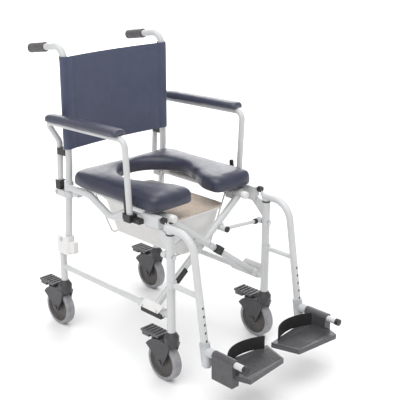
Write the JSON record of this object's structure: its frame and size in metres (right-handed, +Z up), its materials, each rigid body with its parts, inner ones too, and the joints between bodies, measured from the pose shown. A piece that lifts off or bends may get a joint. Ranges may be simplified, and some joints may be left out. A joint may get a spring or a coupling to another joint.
{
  "type": "shower commode chair",
  "caption": "Folding-frame shower commode chair on braked casters, with sling back, open-front seat, sliding pan, flip-up armrests and swing-away legrests.",
  "frame": {"origin": "on the floor, midway between the two sides and between the foremost and rearmost points", "axes": "+Z up, -Y to the front of the chair, +X to the sitter's left"},
  "size_m": [0.545, 0.967, 0.9714],
  "materials": {
    "white_paint": "satin powder coat",
    "white_plastic": "satin moulded",
    "black_plastic": "fine grain",
    "black_rubber": "matte",
    "steel": "zinc plated",
    "navy_skin": "grained foam skin",
    "navy_cloth": "coated weave",
    "black_webbing": "woven",
    "tan_plastic": "matte",
    "grey_plastic": "satin moulded",
    "dark_plastic": "fine grain",
    "grey_tyre": "matte"
  },
  "bodies": {
    "frame": {"right_side_frame": "white_paint", "left_side_frame": "white_paint", "right_back_tube": "white_paint", "left_back_tube": "white_paint", "right_push_grip": "black_rubber", "left_push_grip": "black_rubber", "rear_clamp_blocks": "white_plastic", "post_bushings": "black_plastic", "back_sling": "navy_cloth", "brace_right_foot": "white_paint", "brace_left_foot": "white_paint", "brace_pivot_bolt": "steel", "brace_links": "white_paint", "brace_buffers": "black_rubber", "brace_foot_covers": "white_plastic", "pan_hangers": "white_paint", "frame_bolts": "steel", "armrest_hinge_brackets": "white_paint", "armrest_rear_fittings": "black_plastic", "armrest_sockets": "black_plastic"},
    "seat": {"seat_cushion": "navy_skin", "seat_clips": "white_plastic"},
    "pan": {"commode_pan": "white_plastic"},
    "lid": {"pan_lid": "tan_plastic"},
    "right_armrest": {"right_armrest_tube": "white_paint", "right_armrest_pad": "navy_skin"},
    "right_latch": {"right_armrest_latch": "black_plastic"},
    "right_legrest": {"right_legrest_hanger": "white_paint"},
    "right_lever": {"right_release_lever": "black_plastic"},
    "right_footrest": {"right_footrest_clamp": "grey_plastic", "right_pivot_tube": "white_paint", "right_pivot_cap": "black_plastic"},
    "right_foot": {"right_footplate": "dark_plastic", "right_heel_strap": "black_webbing"},
    "left_armrest": {"left_armrest_tube": "white_paint", "left_armrest_pad": "navy_skin"},
    "left_latch": {"left_armrest_latch": "black_plastic"},
    "left_legrest": {"left_legrest_hanger": "white_paint"},
    "left_lever": {"left_release_lever": "black_plastic"},
    "left_footrest": {"left_footrest_clamp": "grey_plastic", "left_pivot_tube": "white_paint", "left_pivot_cap": "black_plastic"},
    "left_foot": {"left_footplate": "dark_plastic", "left_heel_strap": "black_webbing"},
    "right_front_caster": {"right_front_fork": "dark_plastic"},
    "right_front_wheel": {"right_front_tyre": "grey_tyre", "right_front_hub": "dark_plastic"},
    "right_front_brake": {"right_front_pedal": "grey_plastic"},
    "left_front_caster": {"left_front_fork": "dark_plastic"},
    "left_front_wheel": {"left_front_tyre": "grey_tyre", "left_front_hub": "dark_plastic"},
    "left_front_brake": {"left_front_pedal": "grey_plastic"},
    "right_rear_caster": {"right_rear_fork": "dark_plastic"},
    "right_rear_wheel": {"right_rear_tyre": "grey_tyre", "right_rear_hub": "dark_plastic"},
    "right_rear_brake": {"right_rear_pedal": "grey_plastic"},
    "left_rear_caster": {"left_rear_fork": "dark_plastic"},
    "left_rear_wheel": {"left_rear_tyre": "grey_tyre", "left_rear_hub": "dark_plastic"},
    "left_rear_brake": {"left_rear_pedal": "grey_plastic"}
  },
  "joints": [
    {"name": "seat_lift", "type": "slide", "parent": "frame", "child": "seat", "axis": [0, 0, 1], "range_m": [0, 0.06]},
    {"name": "pan_slide", "type": "slide", "parent": "frame", "child": "pan", "axis": [0, 1, 0], "range_m": [0, 0.33]},
    {"name": "lid_lift", "type": "slide", "parent": "pan", "child": "lid", "axis": [0, 0, 1], "range_m": [0, 0.03]},
    {"name": "right_armrest_flip", "type": "hinge", "parent": "frame", "child": "right_armrest", "pos_m": [-0.205, 0.3595, 0.487], "axis": [-1, 0, 0], "range_deg": [0, 95]},
    {"name": "right_latch_pull", "type": "hinge", "parent": "frame", "child": "right_latch", "pos_m": [-0.229, -0.0054, 0.5], "axis": [-1, 0, 0], "range_deg": [0, 18], "stiffness_Nm_per_rad": 0.3},
    {"name": "right_legrest_swing", "type": "hinge", "parent": "frame", "child": "right_legrest", "pos_m": [-0.208, -0.1735, 0.48], "axis": [0, 0, -1], "range_deg": [0, 95]},
    {"name": "right_lever_press", "type": "hinge", "parent": "right_legrest", "child": "right_lever", "pos_m": [-0.208, -0.1565, 0.503], "axis": [-1, 0, 0], "range_deg": [0, 14], "stiffness_Nm_per_rad": 0.1},
    {"name": "right_footrest_slide", "type": "slide", "parent": "right_legrest", "child": "right_footrest", "axis": [0, 0.1564, 0.9877], "range_m": [0, 0.1]},
    {"name": "right_footplate_flip", "type": "hinge", "parent": "right_footrest", "child": "right_foot", "pos_m": [-0.208, -0.3935, 0.163], "axis": [0, -1, 0], "range_deg": [0, 90]},
    {"name": "left_armrest_flip", "type": "hinge", "parent": "frame", "child": "left_armrest", "pos_m": [0.205, 0.3595, 0.487], "axis": [-1, 0, 0], "range_deg": [0, 95]},
    {"name": "left_latch_pull", "type": "hinge", "parent": "frame", "child": "left_latch", "pos_m": [0.229, -0.0054, 0.5], "axis": [-1, 0, 0], "range_deg": [0, 18], "stiffness_Nm_per_rad": 0.3},
    {"name": "left_legrest_swing", "type": "hinge", "parent": "frame", "child": "left_legrest", "pos_m": [0.208, -0.1735, 0.48], "axis": [0, 0, 1], "range_deg": [0, 95]},
    {"name": "left_lever_press", "type": "hinge", "parent": "left_legrest", "child": "left_lever", "pos_m": [0.208, -0.1565, 0.503], "axis": [-1, 0, 0], "range_deg": [0, 14], "stiffness_Nm_per_rad": 0.1},
    {"name": "left_footrest_slide", "type": "slide", "parent": "left_legrest", "child": "left_footrest", "axis": [0, 0.1564, 0.9877], "range_m": [0, 0.1]},
    {"name": "left_footplate_flip", "type": "hinge", "parent": "left_footrest", "child": "left_foot", "pos_m": [0.208, -0.3935, 0.163], "axis": [0, 1, 0], "range_deg": [0, 90]},
    {"name": "right_front_swivel", "type": "hinge", "parent": "frame", "child": "right_front_caster", "pos_m": [-0.208, -0.1735, 0.17], "axis": [0, 0, 1], "continuous": true},
    {"name": "right_front_roll", "type": "hinge", "parent": "right_front_caster", "child": "right_front_wheel", "pos_m": [-0.208, -0.1425, 0.0625], "axis": [1, 0, 0], "continuous": true},
    {"name": "right_front_brake_press", "type": "hinge", "parent": "right_front_caster", "child": "right_front_brake", "pos_m": [-0.208, -0.1075, 0.136], "axis": [-1, 0, 0], "range_deg": [0, 12]},
    {"name": "left_front_swivel", "type": "hinge", "parent": "frame", "child": "left_front_caster", "pos_m": [0.208, -0.1735, 0.17], "axis": [0, 0, 1], "continuous": true},
    {"name": "left_front_roll", "type": "hinge", "parent": "left_front_caster", "child": "left_front_wheel", "pos_m": [0.208, -0.1425, 0.0625], "axis": [1, 0, 0], "continuous": true},
    {"name": "left_front_brake_press", "type": "hinge", "parent": "left_front_caster", "child": "left_front_brake", "pos_m": [0.208, -0.1075, 0.136], "axis": [-1, 0, 0], "range_deg": [0, 12]},
    {"name": "right_rear_swivel", "type": "hinge", "parent": "frame", "child": "right_rear_caster", "pos_m": [-0.208, 0.3585, 0.17], "axis": [0, 0, 1], "continuous": true},
    {"name": "right_rear_roll", "type": "hinge", "parent": "right_rear_caster", "child": "right_rear_wheel", "pos_m": [-0.208, 0.3895, 0.0625], "axis": [1, 0, 0], "continuous": true},
    {"name": "right_rear_brake_press", "type": "hinge", "parent": "right_rear_caster", "child": "right_rear_brake", "pos_m": [-0.208, 0.4245, 0.136], "axis": [-1, 0, 0], "range_deg": [0, 12]},
    {"name": "left_rear_swivel", "type": "hinge", "parent": "frame", "child": "left_rear_caster", "pos_m": [0.208, 0.3585, 0.17], "axis": [0, 0, 1], "continuous": true},
    {"name": "left_rear_roll", "type": "hinge", "parent": "left_rear_caster", "child": "left_rear_wheel", "pos_m": [0.208, 0.3895, 0.0625], "axis": [1, 0, 0], "continuous": true},
    {"name": "left_rear_brake_press", "type": "hinge", "parent": "left_rear_caster", "child": "left_rear_brake", "pos_m": [0.208, 0.4245, 0.136], "axis": [-1, 0, 0], "range_deg": [0, 12]}
  ]
}
